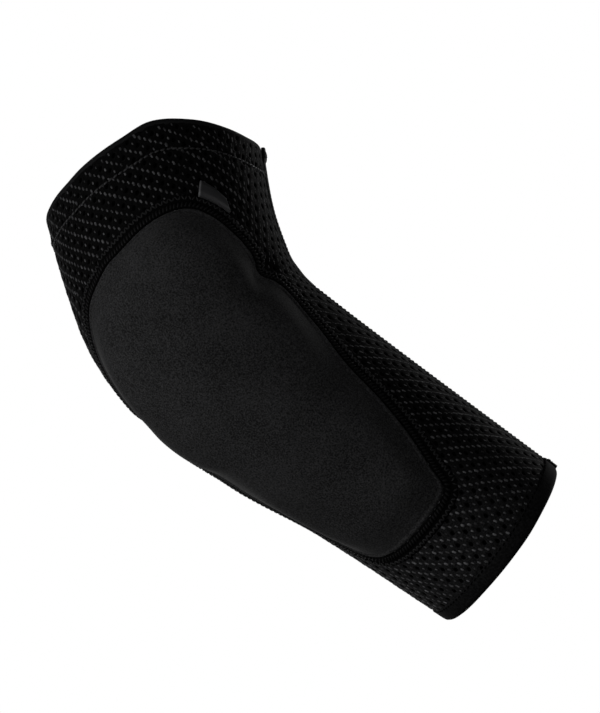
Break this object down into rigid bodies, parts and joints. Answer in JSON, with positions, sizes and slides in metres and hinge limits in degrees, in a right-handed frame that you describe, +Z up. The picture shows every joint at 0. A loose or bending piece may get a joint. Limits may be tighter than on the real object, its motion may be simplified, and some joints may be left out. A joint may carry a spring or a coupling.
{
  "type": "elbow guard",
  "caption": "Bent elbow sleeve of black eyelet mesh knit, hemmed at both cuffs, with a padded panel sewn over the outer side of the elbow and forearm.",
  "frame": {"origin": "centre of the elbow, on the middle line of the tube at the middle of its bend", "axes": "+Z up along the worn arm with the upper arm above and the forearm below, -X to the point of the elbow, +X to the crook, -Y to the side of the arm that carries the pad"},
  "size_m": [0.159, 0.1057, 0.2575],
  "materials": {
    "mesh_knit": "black eyelet mesh knit with glinting threads",
    "mesh_hem": "the same mesh knit turned double",
    "elastic_hem": "smooth black elastic band",
    "pad_cloth": "matt black close-woven cloth with a fine grain",
    "seam_thread": "black sewing thread",
    "satin_tape": "dark grey satin tape"
  },
  "bodies": {
    "root": {"sleeve": "mesh_knit", "upper_hem": "mesh_hem", "lower_hem": "elastic_hem", "elbow_pad": "pad_cloth", "pad_seam": "seam_thread", "long_seam": "seam_thread", "label_tab": "satin_tape"}
  },
  "joints": []
}
